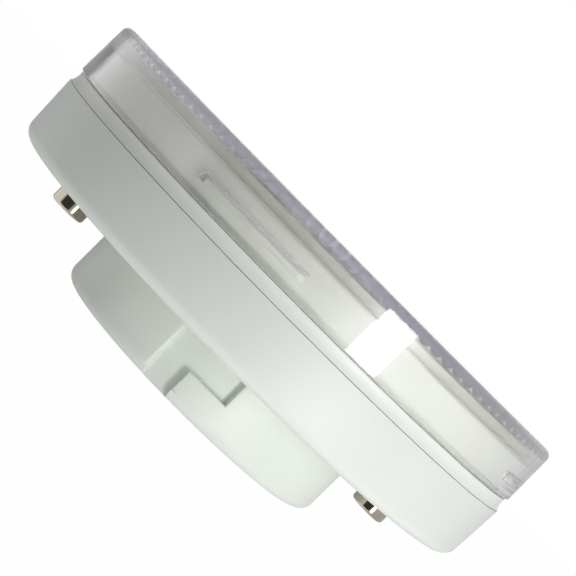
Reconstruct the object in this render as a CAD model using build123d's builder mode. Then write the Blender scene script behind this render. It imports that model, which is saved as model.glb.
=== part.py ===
from build123d import *
from math import asin, atan2, cos, degrees, hypot, pi, radians, sin, sqrt
import os

# Flat compact fluorescent lamp with a two-pin twist-lock base, in millimetres.
# It stands on the rear face of its hub, with its origin at the centre of that
# face. +Z runs along the axis towards the clear front cover, and the two
# contact pins lie on the X axis.

os.makedirs("parts", exist_ok=True)

# Overall sizes of the lamp and of its standard base
LAMP_R = 37.5
LAMP_HEIGHT = 27.3
HUB_R = 20.9
HUB_HEIGHT = 9.0
PIN_SPACING = 53.0
PIN_TIP_Z = 5.4

# Where the mouldings meet, measured up the axis
SEAM_Z = 17.5
COVER_FOOT_Z = 19.4

# A rounded edge is drawn in flats of this many degrees, to keep its mesh light
FLAT_ANGLE = 30

# Rear housing: dished shell and hub in one moulding
WALL = 1.5
HOUSING_FOOT_R = 37.1
HOUSING_BORE_R = 35.9
HUB_BORE_R = 18.4
HUB_EDGE_ROUND = 1.3
HUB_ROOT_LEG = 1.0
FOOT_EDGE_ROUND = 1.7
HOUSING_FLOOR_Z = HUB_HEIGHT + WALL
GATE_R = 1.6
GATE_DEPTH = 0.35

# Board supports inside the housing: angles from -Y towards +X
RIB_ANGLES = (15, 105, 195, 285)
RIB_MIDDLE_R = 20.0
RIB_LENGTH = 3.0
RIB_HALF_THICKNESS = 0.8
HOOK_ANGLES = (0, 130, 230)
HOOK_HALF_WIDTH = 1.8
HOOK_GAP = 0.2
HOOK_ROOT = 1.2
HOOK_TIP = 0.9
HOOK_NOSE = 0.5
HOOK_PLAY = 0.05
HOOK_HEIGHT = 1.5

# Twist-lock keyways in the hub, angles from -Y towards +X
KEY_DEPTH = 1.0
KEY_LEFT = -17.8
KEY_STEP = -7.3
KEY_RIGHT = 7.9
KEY_STEP_Z = 4.8
KEY_LEAD_ROUND = 0.6
KEY_CUT_R = HUB_R + 1.6

# Contact pins
PIN_HEAD_R = 2.48
PIN_HEAD_ROUND = 0.5
PIN_HEAD_HEIGHT = 2.1
PIN_TAPER = 0.5
PIN_NECK_R = 1.6
PIN_SHANK_R = 1.3
PIN_SHANK_PLAY = 0.05
PIN_RIVET_R = 2.0
PIN_RIVET_TOP_R = 1.2
PIN_RIVET_HEIGHT = 0.6
PIN_BOSS_R = 4.2
PIN_BOSS_HEIGHT = 0.4

# Solder tags under the rivet heads
TAG_R = 2.6
TAG_SIDES = 8
TAG_THICKNESS = 0.4
TAG_ARM_LENGTH = 6.2
TAG_ARM_WIDTH = 2.0

# Reflector tray, which also carries the band seen between cover and housing
TRAY_WALL_OUTER_R = 35.8
TRAY_WALL_INNER_R = 34.6
TRAY_WALL_TOP_Z = 24.4
TRAY_FLOOR_TOP_Z = 18.5
TRAY_CORNER_LEG = 1.0
TRAY_LEAD_IN = 0.3
SPIGOT_R = 35.7
SPIGOT_INNER_R = 34.5
SPIGOT_FOOT_Z = 14.9
BAND_TOP_R = 37.15
BAND_WAIST_R = 36.95
BAND_WAIST_Z = 18.45
BAND_LIP_R = 37.4
TUBE_HOLE_GAP = 0.6
SADDLE_HEIGHT = 2.4
SADDLE_MARGIN = 0.6
SADDLE_HALF_LENGTH = 1.1

# Snap ribs on the tray wall and their pockets in the cover's skirt
SNAP_COUNT = 4
SNAP_FIRST = -17.0
SNAP_HALF_ANGLE = 13.0
SNAP_LOW_Z = 21.25
SNAP_HIGH_Z = 22.65
SNAP_PROUD = 0.5
SNAP_SLOPE = 0.5
SNAP_ROOT = 0.3
SNAP_CLEARANCE = 0.1
SNAP_END_PLAY = 0.3

# Clear cover
COVER_FOOT_R = 37.45
COVER_TOP_R = 37.3
COVER_BORE_R = 36.1
COVER_EDGE_ROUND = 0.9
COVER_FOOT_LEG = 0.3
FLUTE_COUNT = 116
FLUTE_CREST_Z = 25.8
FLUTE_DEPTH = 0.7
FLUTE_OUTER_R = 36.0
FLUTE_INNER_R = 8.0
FLUTE_FLAT = 0.12

# Discharge tube, a flat six-limb meander, drawn with this many sides
TUBE_R = 3.2
TUBE_SIDES = 12
TUBE_Z = 22.0
LIMB_PITCH = 10.0
LIMB_COUNT = 6
BEND_REACH = 25.2
TUBE_END_Y = -11.5
TUBE_DROP_R = 4.0
TUBE_STRAIGHT_FOOT_Z = 13.8
PINCH_FOOT_Z = 12.4
PINCH_WIDTH = 5.2
PINCH_THICKNESS = 2.2
COLLAR_WALL = 1.3
COLLAR_HEIGHT = 0.9

# Ballast board and what it carries
BOARD_R = 22.5
BOARD_FOOT_Z = 13.0
BOARD_THICKNESS = 1.6
BOARD_TOP_Z = BOARD_FOOT_Z + BOARD_THICKNESS
POST_CIRCLE_R = 20.5
POST_SIZE = 0.8
POST_TOP_Z = 17.1
WIRE_RUN_Z = 15.8
LEAD_WIRE_R = 0.3
LEAD_SPACING = 1.2
LEAD_TURN_R = 24.3
LEAD_DIP = 1.0
MAINS_WIRE_R = 0.55
MAINS_BEND_R = 2.4
MAINS_POST_OFFSET = 4.0
WIRE_SIDES = 8


def polar_xy(radius, angle):
    """A point at this radius, its angle in degrees from -Y towards +X."""
    turn = radians(angle)
    return (radius * sin(turn), -radius * cos(turn))


def radial_plane(angle):
    """The upright plane through the axis at this angle: x outwards, y up."""
    x, y = polar_xy(1, angle)
    return Plane(origin=(0, 0, 0), x_dir=(x, y, 0), z_dir=(y, -x, 0))


def rounded(centre, radius, start):
    """Points along a quarter round from this angle on, one at each end of every flat."""
    turns = [radians(start + step) for step in range(0, 91, FLAT_ANGLE)]
    return [(centre[0] + radius * cos(turn), centre[1] + radius * sin(turn)) for turn in turns]


def tube_outline(half_width, half_thickness):
    """The corners of the tube's many-sided section, flattened to these half sizes."""
    turns = [2 * pi * side / TUBE_SIDES for side in range(TUBE_SIDES)]
    return [(half_width * cos(turn), half_thickness * sin(turn)) for turn in turns]


def save(piece, label):
    """Label a finished piece and write it to its own file."""
    piece.part.label = label
    export_step(piece.part, f"parts/{label}.step")


# Rear housing: the dished shell and the hub are one moulding
hub_circle_r = HUB_R - KEY_DEPTH

with BuildPart() as rear_housing:
    with BuildSketch(Plane.XZ):
        with BuildLine():
            Polyline(
                (0, 0),
                *rounded((HUB_R - HUB_EDGE_ROUND, HUB_EDGE_ROUND), HUB_EDGE_ROUND, -90),
                (HUB_R, HUB_HEIGHT - HUB_ROOT_LEG),
                (HUB_R + HUB_ROOT_LEG, HUB_HEIGHT),
                *rounded(
                    (HOUSING_FOOT_R - FOOT_EDGE_ROUND, HUB_HEIGHT + FOOT_EDGE_ROUND),
                    FOOT_EDGE_ROUND,
                    -90,
                ),
                (LAMP_R, SEAM_Z),
                (HOUSING_BORE_R, SEAM_Z),
                (HOUSING_BORE_R, HOUSING_FLOOR_Z),
                (HUB_BORE_R, HOUSING_FLOOR_Z),
                (HUB_BORE_R, WALL),
                (0, WALL),
                close=True,
            )
        make_face()
    revolve(axis=Axis.Z)

    # Moulding gate in the middle of the hub's rear face
    with BuildSketch(Plane.XY):
        Circle(GATE_R)
    extrude(amount=GATE_DEPTH, mode=Mode.SUBTRACT)

    # Keyways: a channel open at the rear rim leads to a locking channel beside it
    for half_turn in (0, 180):
        left = KEY_LEFT + half_turn
        round_centre_r = HUB_R - KEY_LEAD_ROUND
        round_centre_angle = left - degrees(asin(KEY_LEAD_ROUND / round_centre_r))
        wall_end_r = sqrt(round_centre_r**2 - KEY_LEAD_ROUND**2)
        centre = Vector(*polar_xy(round_centre_r, round_centre_angle))
        wall_end = Vector(*polar_xy(wall_end_r, left))
        skin_start = Vector(*polar_xy(HUB_R, round_centre_angle))
        between = (wall_end - centre + skin_start - centre).normalized()
        for edge, foot_z in ((KEY_STEP, -1), (KEY_RIGHT, KEY_STEP_Z)):
            right = edge + half_turn
            middle = (left + right) / 2
            with BuildSketch(Plane.XY.offset(foot_z)):
                with BuildLine():
                    ThreePointArc(
                        polar_xy(hub_circle_r, left),
                        polar_xy(hub_circle_r, middle),
                        polar_xy(hub_circle_r, right),
                    )
                    Polyline(
                        polar_xy(hub_circle_r, right),
                        polar_xy(KEY_CUT_R, right),
                        polar_xy(KEY_CUT_R, middle),
                        polar_xy(KEY_CUT_R, round_centre_angle),
                        skin_start,
                    )
                    ThreePointArc(skin_start, centre + between * KEY_LEAD_ROUND, wall_end)
                    Line(wall_end, polar_xy(hub_circle_r, left))
                make_face()
            extrude(amount=HUB_HEIGHT - foot_z, mode=Mode.SUBTRACT)

    # Bosses and holes for the contact pins
    with BuildSketch(Plane.XY.offset(HUB_HEIGHT - PIN_BOSS_HEIGHT)):
        with Locations((-PIN_SPACING / 2, 0), (PIN_SPACING / 2, 0)):
            Circle(PIN_BOSS_R)
    extrude(amount=PIN_BOSS_HEIGHT)
    with BuildSketch(Plane.XY.offset(HUB_HEIGHT - PIN_BOSS_HEIGHT)):
        with Locations((-PIN_SPACING / 2, 0), (PIN_SPACING / 2, 0)):
            Circle(PIN_SHANK_R + PIN_SHANK_PLAY)
    extrude(amount=PIN_BOSS_HEIGHT + WALL, mode=Mode.SUBTRACT)

    # Ribs that the board rests on, and the hooks that hold its edge
    for angle in RIB_ANGLES:
        with BuildSketch(radial_plane(angle)):
            with Locations((RIB_MIDDLE_R, (HOUSING_FLOOR_Z + BOARD_FOOT_Z) / 2)):
                Rectangle(RIB_LENGTH, BOARD_FOOT_Z - HOUSING_FLOOR_Z)
        extrude(amount=RIB_HALF_THICKNESS, both=True)
    hook_inner_r = BOARD_R + HOOK_GAP
    hook_nose_z = BOARD_TOP_Z + HOOK_PLAY
    for angle in HOOK_ANGLES:
        with BuildSketch(radial_plane(angle)):
            with BuildLine():
                Polyline(
                    (hook_inner_r, HOUSING_FLOOR_Z),
                    (hook_inner_r + HOOK_ROOT, HOUSING_FLOOR_Z),
                    (hook_inner_r + HOOK_TIP, BOARD_TOP_Z + HOOK_HEIGHT),
                    (hook_inner_r, BOARD_TOP_Z + HOOK_HEIGHT),
                    (BOARD_R - HOOK_NOSE, BOARD_TOP_Z + HOOK_HEIGHT / 2),
                    (BOARD_R - HOOK_NOSE, hook_nose_z),
                    (hook_inner_r, hook_nose_z),
                    close=True,
                )
            make_face()
        extrude(amount=HOOK_HALF_WIDTH, both=True)

save(rear_housing, "rear_housing")

# Contact pins: turned studs riveted through the housing floor onto a solder tag
boss_face_z = HUB_HEIGHT - PIN_BOSS_HEIGHT
tag_top_z = HOUSING_FLOOR_Z + TAG_THICKNESS
head_top_z = PIN_TIP_Z + PIN_HEAD_HEIGHT

for side, x in (("left", -PIN_SPACING / 2), ("right", PIN_SPACING / 2)):
    with BuildPart() as contact_pin:
        with BuildSketch(Plane.XZ):
            with BuildLine():
                Polyline(
                    (0, PIN_TIP_Z),
                    *rounded(
                        (PIN_HEAD_R - PIN_HEAD_ROUND, PIN_TIP_Z + PIN_HEAD_ROUND), PIN_HEAD_ROUND, -90
                    ),
                    (PIN_HEAD_R, head_top_z),
                    (PIN_NECK_R, head_top_z + PIN_TAPER),
                    (PIN_NECK_R, boss_face_z),
                    (PIN_SHANK_R, boss_face_z),
                    (PIN_SHANK_R, tag_top_z),
                    (PIN_RIVET_R, tag_top_z),
                    (PIN_RIVET_TOP_R, tag_top_z + PIN_RIVET_HEIGHT),
                    (0, tag_top_z + PIN_RIVET_HEIGHT),
                    close=True,
                )
            make_face()
        revolve(axis=Axis.Z)
    contact_pin.part = contact_pin.part.moved(Location((x, 0, 0)))
    save(contact_pin, f"contact_pin_{side}")

with BuildPart() as solder_tags:
    with BuildSketch(Plane.XY.offset(HOUSING_FLOOR_Z)):
        with Locations((-PIN_SPACING / 2, 0), (PIN_SPACING / 2, 0)):
            RegularPolygon(TAG_R, TAG_SIDES)
            with Locations((0, TAG_ARM_LENGTH / 2)):
                Rectangle(TAG_ARM_WIDTH, TAG_ARM_LENGTH)
            Circle(PIN_SHANK_R, mode=Mode.SUBTRACT)
    extrude(amount=TAG_THICKNESS)
save(solder_tags, "solder_tags")

# Where the tube's limbs lie, and where its two ends come down through the tray
limb_x = [(limb - (LIMB_COUNT - 1) / 2) * LIMB_PITCH for limb in range(LIMB_COUNT)]
end_x = limb_x[0]
drop_y = TUBE_END_Y - TUBE_DROP_R

# Reflector tray: floor, upright wall, the band under the cover and the spigot
with BuildPart() as reflector_tray:
    with BuildSketch(Plane.XZ):
        with BuildLine():
            Polyline(
                (0, SEAM_Z),
                (SPIGOT_INNER_R, SEAM_Z),
                (SPIGOT_INNER_R, SPIGOT_FOOT_Z),
                (SPIGOT_R, SPIGOT_FOOT_Z),
                (SPIGOT_R, SEAM_Z),
                (BAND_LIP_R, SEAM_Z),
                (BAND_WAIST_R, BAND_WAIST_Z),
                (BAND_TOP_R, COVER_FOOT_Z),
                (TRAY_WALL_OUTER_R, COVER_FOOT_Z),
                (TRAY_WALL_OUTER_R, TRAY_WALL_TOP_Z - TRAY_LEAD_IN),
                (TRAY_WALL_OUTER_R - TRAY_LEAD_IN, TRAY_WALL_TOP_Z),
                (TRAY_WALL_INNER_R, TRAY_WALL_TOP_Z),
                (TRAY_WALL_INNER_R, TRAY_FLOOR_TOP_Z + TRAY_CORNER_LEG),
                (TRAY_WALL_INNER_R - TRAY_CORNER_LEG, TRAY_FLOOR_TOP_Z),
                (0, TRAY_FLOOR_TOP_Z),
                close=True,
            )
        make_face()
    revolve(axis=Axis.Z)

    # Snap ribs, with a sloped upper face for the cover to ride over
    for snap in range(SNAP_COUNT):
        middle = SNAP_FIRST + snap * 360 / SNAP_COUNT
        with BuildSketch(radial_plane(middle - SNAP_HALF_ANGLE)):
            with BuildLine():
                Polyline(
                    (TRAY_WALL_OUTER_R - SNAP_ROOT, SNAP_LOW_Z),
                    (TRAY_WALL_OUTER_R + SNAP_PROUD, SNAP_LOW_Z),
                    (TRAY_WALL_OUTER_R + SNAP_PROUD, SNAP_HIGH_Z - SNAP_SLOPE),
                    (TRAY_WALL_OUTER_R, SNAP_HIGH_Z),
                    (TRAY_WALL_OUTER_R - SNAP_ROOT, SNAP_HIGH_Z),
                    close=True,
                )
            make_face()
        revolve(axis=Axis.Z, revolution_arc=2 * SNAP_HALF_ANGLE)

    # Holes that the tube's ends pass through
    with BuildSketch(Plane.XY.offset(SEAM_Z)):
        with Locations((end_x, drop_y), (-end_x, drop_y)):
            Circle(TUBE_R + TUBE_HOLE_GAP)
    extrude(amount=TRAY_FLOOR_TOP_Z - SEAM_Z, mode=Mode.SUBTRACT)

    # Saddles under the outer and middle limbs
    with BuildSketch(Plane.XZ):
        for x in (limb_x[0], limb_x[2], limb_x[3], limb_x[5]):
            with Locations((x, TRAY_FLOOR_TOP_Z + SADDLE_HEIGHT / 2)):
                Rectangle(2 * (TUBE_R + SADDLE_MARGIN), SADDLE_HEIGHT)
            with Locations((x, TUBE_Z)):
                RegularPolygon(TUBE_R, TUBE_SIDES, mode=Mode.SUBTRACT)
    extrude(amount=SADDLE_HALF_LENGTH, both=True)

save(reflector_tray, "reflector_tray")

# Discharge tube: limbs joined by half-round bends, with both ends turned down
# The bends of its middle line too are drawn in flats.
bend_r = LIMB_PITCH / 2
bend_angles = [radians(step) for step in range(0, 181, FLAT_ANGLE)]
drop_rounds = rounded((0, 0), TUBE_DROP_R, 0)
drop_z = TUBE_Z - TUBE_DROP_R
end_run = [(end_x, drop_y, TUBE_STRAIGHT_FOOT_Z)]
for along, up in drop_rounds:
    end_run.append((end_x, TUBE_END_Y - along, drop_z + up))
meander = []
for bend in range(LIMB_COUNT - 1):
    centre_x = (limb_x[bend] + limb_x[bend + 1]) / 2
    outward = 1 if bend % 2 == 0 else -1
    centre_y = outward * sqrt(BEND_REACH**2 - centre_x**2)
    for turn in bend_angles:
        x = centre_x - bend_r * cos(turn)
        meander.append((x, centre_y + outward * bend_r * sin(turn), TUBE_Z))
other_end_run = [(-x, y, z) for x, y, z in reversed(end_run)]

with BuildPart() as discharge_tube:
    with BuildLine() as tube_path:
        Polyline(*end_run, *meander, *other_end_run)
    with BuildSketch(Plane.XY.offset(TUBE_STRAIGHT_FOOT_Z)):
        with Locations((end_x, drop_y)):
            RegularPolygon(TUBE_R, TUBE_SIDES)
    sweep(path=tube_path.wire(), transition=Transition.RIGHT)

    # Pinched seals at both ends, flattened across the way to the board
    end_angle = degrees(atan2(end_x, -drop_y))
    sides_apart = 360 / TUBE_SIDES
    for x, angle in ((end_x, end_angle), (-end_x, -end_angle)):
        whole_sides = round(angle / sides_apart) * sides_apart
        with BuildSketch(Plane.XY.offset(TUBE_STRAIGHT_FOOT_Z)):
            with Locations(Location((x, drop_y), whole_sides)):
                Polygon(*tube_outline(TUBE_R, TUBE_R), align=None)
        with BuildSketch(Plane.XY.offset(PINCH_FOOT_Z)):
            with Locations(Location((x, drop_y), angle)):
                Polygon(*tube_outline(PINCH_WIDTH / 2, PINCH_THICKNESS / 2), align=None)
        loft(ruled=True)

save(discharge_tube, "discharge_tube")

# Silicone collars that bond the tube's ends to the tray
with BuildPart() as tube_collars:
    with BuildSketch(Plane.XY.offset(SEAM_Z - COLLAR_HEIGHT)):
        for x in (end_x, -end_x):
            with Locations((x, drop_y)):
                RegularPolygon(TUBE_R + COLLAR_WALL, TUBE_SIDES)
                RegularPolygon(TUBE_R, TUBE_SIDES, mode=Mode.SUBTRACT)
    extrude(amount=COLLAR_HEIGHT)
save(tube_collars, "tube_collars")

# Clear front cover with a ring of radial flutes under its plate
with BuildPart() as front_cover:
    with BuildSketch(Plane.XZ):
        with BuildLine():
            Polyline(
                (0, FLUTE_CREST_Z),
                (COVER_BORE_R, FLUTE_CREST_Z),
                (COVER_BORE_R, COVER_FOOT_Z),
                (COVER_FOOT_R - COVER_FOOT_LEG, COVER_FOOT_Z),
                (COVER_FOOT_R, COVER_FOOT_Z + COVER_FOOT_LEG),
                *rounded(
                    (COVER_TOP_R - COVER_EDGE_ROUND, LAMP_HEIGHT - COVER_EDGE_ROUND),
                    COVER_EDGE_ROUND,
                    0,
                ),
                (0, LAMP_HEIGHT),
                close=True,
            )
        make_face()
    revolve(axis=Axis.Z)

    # Pockets that the snap ribs click into
    pocket_half_angle = SNAP_HALF_ANGLE + SNAP_END_PLAY
    pocket_floor_r = TRAY_WALL_OUTER_R + SNAP_PROUD + SNAP_CLEARANCE
    for snap in range(SNAP_COUNT):
        middle = SNAP_FIRST + snap * 360 / SNAP_COUNT
        with BuildSketch(radial_plane(middle - pocket_half_angle)):
            with BuildLine():
                Polyline(
                    (COVER_BORE_R - SNAP_ROOT, SNAP_LOW_Z - SNAP_CLEARANCE),
                    (pocket_floor_r, SNAP_LOW_Z - SNAP_CLEARANCE),
                    (pocket_floor_r, SNAP_HIGH_Z + SNAP_CLEARANCE),
                    (COVER_BORE_R - SNAP_ROOT, SNAP_HIGH_Z + SNAP_CLEARANCE),
                    close=True,
                )
            make_face()
        revolve(axis=Axis.Z, revolution_arc=2 * pocket_half_angle, mode=Mode.SUBTRACT)

    # Grooves between the flutes: a bar cut by two planes that meet in a line to the axis
    flute_pitch = 2 * pi / FLUTE_COUNT
    half_width = (FLUTE_OUTER_R * flute_pitch - FLUTE_FLAT) / 2
    lean = FLUTE_DEPTH * half_width
    with BuildPart(mode=Mode.PRIVATE) as groove:
        with Locations((FLUTE_INNER_R, 0, 0)):
            Box(
                FLUTE_OUTER_R - FLUTE_INNER_R,
                2 * half_width,
                FLUTE_DEPTH,
                align=(Align.MIN, Align.CENTER, Align.MIN),
            )
        for side in (1, -1):
            flank = (-lean, side * FLUTE_DEPTH * FLUTE_OUTER_R, FLUTE_OUTER_R * half_width)
            split(bisect_by=Plane(origin=(0, 0, 0), z_dir=flank), keep=Keep.BOTTOM)

    groove_shape = groove.part.moved(Location((0, 0, FLUTE_CREST_Z)))
    grooves = [
        groove_shape.rotate(Axis.Z, turn * 360 / FLUTE_COUNT) for turn in range(FLUTE_COUNT)
    ]
    add(grooves, mode=Mode.SUBTRACT)

save(front_cover, "front_cover")

# Ballast board, a round laminate disc
with BuildPart() as circuit_board:
    with BuildSketch(Plane.XY.offset(BOARD_FOOT_Z)):
        Circle(BOARD_R)
    extrude(amount=BOARD_THICKNESS)
save(circuit_board, "circuit_board")

# Posts at the board's edge that the tube's leads and the mains wires end on
tube_angle = degrees(atan2(-end_x, -drop_y))
tube_end_r = hypot(end_x, drop_y)


def board_edge_plane(angle, sideways):
    """An upright plane that runs outwards at this angle, moved sideways."""
    outwards = Vector(*polar_xy(1, angle))
    across = Vector(-outwards.Y, outwards.X)
    return Plane(origin=across * sideways, x_dir=outwards, z_dir=(outwards.Y, -outwards.X, 0))


lead_places = [
    (side * tube_angle, shift) for side in (-1, 1) for shift in (-LEAD_SPACING, LEAD_SPACING)
]
mains_places = [(-90, -MAINS_POST_OFFSET), (90, MAINS_POST_OFFSET)]

with BuildPart() as board_posts:
    for angle, sideways in lead_places + mains_places:
        foot = board_edge_plane(angle, sideways).from_local_coords((POST_CIRCLE_R, 0, 0))
        with BuildSketch(Plane.XY.offset(BOARD_TOP_Z)):
            with Locations((foot.X, foot.Y)):
                Rectangle(POST_SIZE, POST_SIZE, rotation=angle)
        extrude(amount=POST_TOP_Z - BOARD_TOP_Z)
save(board_posts, "board_posts")

# Lead wires from the tube's pinches, round the board's edge to their posts
post_face_r = POST_CIRCLE_R + POST_SIZE / 2
lead_dip_z = PINCH_FOOT_Z - LEAD_DIP

with BuildPart() as tube_leads:
    for angle, sideways in lead_places:
        with BuildLine(board_edge_plane(angle, sideways)) as lead_path:
            Polyline(
                (tube_end_r, PINCH_FOOT_Z),
                (tube_end_r, lead_dip_z),
                (LEAD_TURN_R, lead_dip_z),
                (LEAD_TURN_R, WIRE_RUN_Z),
                (post_face_r, WIRE_RUN_Z),
            )
        with BuildSketch(Plane(origin=lead_path.line @ 0, z_dir=lead_path.line % 0)):
            RegularPolygon(LEAD_WIRE_R, WIRE_SIDES)
        sweep(path=lead_path.wire(), transition=Transition.RIGHT)
save(tube_leads, "tube_leads")

# Insulated mains wires from the solder tags to their posts
mains_rise_r = PIN_SPACING / 2
with BuildPart() as mains_wires:
    for angle, sideways in mains_places:
        with BuildLine(board_edge_plane(angle, sideways)) as mains_path:
            FilletPolyline(
                (mains_rise_r, tag_top_z),
                (mains_rise_r, WIRE_RUN_Z),
                (post_face_r, WIRE_RUN_Z),
                radius=MAINS_BEND_R,
            )
        with BuildSketch(Plane(origin=mains_path.line @ 0, z_dir=mains_path.line % 0)):
            RegularPolygon(MAINS_WIRE_R, WIRE_SIDES)
        sweep(path=mains_path.wire())
save(mains_wires, "mains_wires")

# Choke: a pair of E cores, a flanged bobbin and its winding, hung in the hub
CHOKE_X = -4.5
CHOKE_Y = 6.5
CORE_WIDTH = 12.8
CORE_DEPTH = 5.8
CORE_HEIGHT = 10.0
CORE_FOOT_Z = 2.3
YOKE = 1.5
CORE_LEG = 3.2
CORE_WINDOW = 3.2
BOBBIN_WALL = 0.5
BOBBIN_FIT = 0.1
FLANGE_THICKNESS = 0.7
FLANGE_PLAY = 0.2
FLANGE_OVERHANG = 2.6
WINDING_MARGIN = 0.4
WINDING_CORNER_R = 1.6

choke_plane = Plane.XZ.offset(-CHOKE_Y)
core_middle_z = CORE_FOOT_Z + CORE_HEIGHT / 2
window_height = CORE_HEIGHT - 2 * YOKE
window_x = (CORE_LEG + CORE_WINDOW) / 2

with BuildPart() as choke_core:
    with BuildSketch(choke_plane):
        with Locations((CHOKE_X, core_middle_z)):
            Rectangle(CORE_WIDTH, CORE_HEIGHT)
        with Locations((CHOKE_X - window_x, core_middle_z), (CHOKE_X + window_x, core_middle_z)):
            Rectangle(CORE_WINDOW, window_height, mode=Mode.SUBTRACT)
    extrude(amount=CORE_DEPTH / 2, both=True)
save(choke_core, "choke_core")

tube_x = CORE_LEG + 2 * (BOBBIN_FIT + BOBBIN_WALL)
tube_y = CORE_DEPTH + 2 * (BOBBIN_FIT + BOBBIN_WALL)
flange_x = CORE_LEG + 2 * (CORE_WINDOW - FLANGE_PLAY)
flange_y = CORE_DEPTH + 2 * FLANGE_OVERHANG
bobbin_foot_z = CORE_FOOT_Z + YOKE
bobbin_top_z = CORE_FOOT_Z + CORE_HEIGHT - YOKE

with BuildPart() as choke_bobbin:
    with BuildSketch(Plane.XY.offset(bobbin_foot_z)):
        with Locations((CHOKE_X, CHOKE_Y)):
            Rectangle(tube_x, tube_y)
    extrude(amount=window_height)
    for flange_z in (bobbin_foot_z, bobbin_top_z - FLANGE_THICKNESS):
        with BuildSketch(Plane.XY.offset(flange_z)):
            with Locations((CHOKE_X, CHOKE_Y)):
                Rectangle(flange_x, flange_y)
        extrude(amount=FLANGE_THICKNESS)
    with BuildSketch(Plane.XY.offset(bobbin_foot_z)):
        with Locations((CHOKE_X, CHOKE_Y)):
            Rectangle(CORE_LEG + 2 * BOBBIN_FIT, CORE_DEPTH + 2 * BOBBIN_FIT)
    extrude(amount=window_height, mode=Mode.SUBTRACT)
save(choke_bobbin, "choke_bobbin")

with BuildPart() as choke_winding:
    with BuildSketch(Plane.XY.offset(bobbin_foot_z + FLANGE_THICKNESS)):
        with Locations((CHOKE_X, CHOKE_Y)):
            RectangleRounded(
                flange_x - 2 * WINDING_MARGIN, flange_y - 2 * WINDING_MARGIN, WINDING_CORNER_R
            )
            Rectangle(tube_x, tube_y, mode=Mode.SUBTRACT)
    extrude(amount=window_height - 2 * FLANGE_THICKNESS)
save(choke_winding, "choke_winding")

# Feedback transformer: a small ring core with three windings, lying flat
RING_X = -9.0
RING_Y = -6.5
RING_OUTER_R = 4.6
RING_INNER_R = 2.5
RING_HEIGHT = 2.8
WINDING_WALL = 0.5
WINDING_STARTS = (20, 140, 260)
WINDING_SPREAD = 60
ring_middle_z = BOARD_FOOT_Z - WINDING_WALL - RING_HEIGHT / 2
ring_width = RING_OUTER_R - RING_INNER_R

with BuildPart() as feedback_ring:
    with BuildSketch(Plane.XY.offset(ring_middle_z)):
        with Locations((RING_X, RING_Y)):
            Circle(RING_OUTER_R)
            Circle(RING_INNER_R, mode=Mode.SUBTRACT)
    extrude(amount=RING_HEIGHT / 2, both=True)
save(feedback_ring, "feedback_ring")

ring_axis = Axis((RING_X, RING_Y, 0), (0, 0, 1))
with BuildPart() as feedback_windings:
    for start in WINDING_STARTS:
        facing = Plane(
            origin=(RING_X, RING_Y, ring_middle_z),
            x_dir=(cos(radians(start)), sin(radians(start)), 0),
            z_dir=(sin(radians(start)), -cos(radians(start)), 0),
        )
        with BuildSketch(facing):
            with Locations(((RING_OUTER_R + RING_INNER_R) / 2, 0)):
                Rectangle(ring_width + 2 * WINDING_WALL, RING_HEIGHT + 2 * WINDING_WALL)
                Rectangle(ring_width, RING_HEIGHT, mode=Mode.SUBTRACT)
        revolve(axis=ring_axis, revolution_arc=WINDING_SPREAD)
save(feedback_windings, "feedback_windings")

# Smoothing capacitor, a sleeved can that hangs into the hub, and the input
# inductor, a drum core with its winding in shrunk sleeving
for label, x, y, can_r, can_height, edge_leg in (
    ("smoothing_capacitor", 10.3, 6.5, 4.0, 10.6, 0.4),
    ("input_inductor", 6.5, -13.2, 3.0, 7.0, 0.3),
):
    with BuildPart() as can:
        with BuildSketch(Plane.XY.offset(BOARD_FOOT_Z)):
            with Locations((x, y)):
                Circle(can_r)
        extrude(amount=-can_height)
        chamfer(can.faces().sort_by(Axis.Z)[0].edges(), edge_leg)
    save(can, label)

# Film capacitors: dipped blocks with eased edges
FILM_CORNER_R = 1.2
FILM_EDGE_LEG = 0.6

for label, x, y, width, depth, height in (
    ("resonant_capacitor", 9.6, -4.6, 4.5, 9.0, 8.5),
    ("blocking_capacitor", -4.0, -13.8, 7.5, 3.8, 7.0),
):
    with BuildPart() as film_capacitor:
        with BuildSketch(Plane.XY.offset(BOARD_FOOT_Z)):
            with Locations((x, y)):
                RectangleRounded(width, depth, FILM_CORNER_R)
        extrude(amount=-height)
        chamfer(film_capacitor.faces().sort_by(Axis.Z)[0].edges(), FILM_EDGE_LEG)
    save(film_capacitor, label)

# Switching transistors: D-shaped bodies on three leads
TRANSISTOR_R = 2.35
TRANSISTOR_HEIGHT = 4.6
TRANSISTOR_FLAT = 1.1
LEAD_PITCH = 1.27
LEG_SIZE = 0.45
LEG_LENGTH = 0.9

for label, x, y in (("transistor_upper", 1.4, -4.0), ("transistor_lower", 1.0, -9.6)):
    with BuildPart() as transistor:
        with BuildSketch(Plane.XY.offset(BOARD_FOOT_Z - LEG_LENGTH)):
            with Locations((x, y)):
                Circle(TRANSISTOR_R)
            with Locations((x, y - TRANSISTOR_FLAT - TRANSISTOR_R / 2)):
                Rectangle(2 * TRANSISTOR_R, TRANSISTOR_R, mode=Mode.SUBTRACT)
        extrude(amount=-TRANSISTOR_HEIGHT)
        with BuildSketch(Plane.XY.offset(BOARD_FOOT_Z)):
            with Locations((x, y)):
                with GridLocations(LEAD_PITCH, 0, 3, 1):
                    Rectangle(LEG_SIZE, LEG_SIZE)
        extrude(amount=-LEG_LENGTH)
    save(transistor, label)

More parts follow.
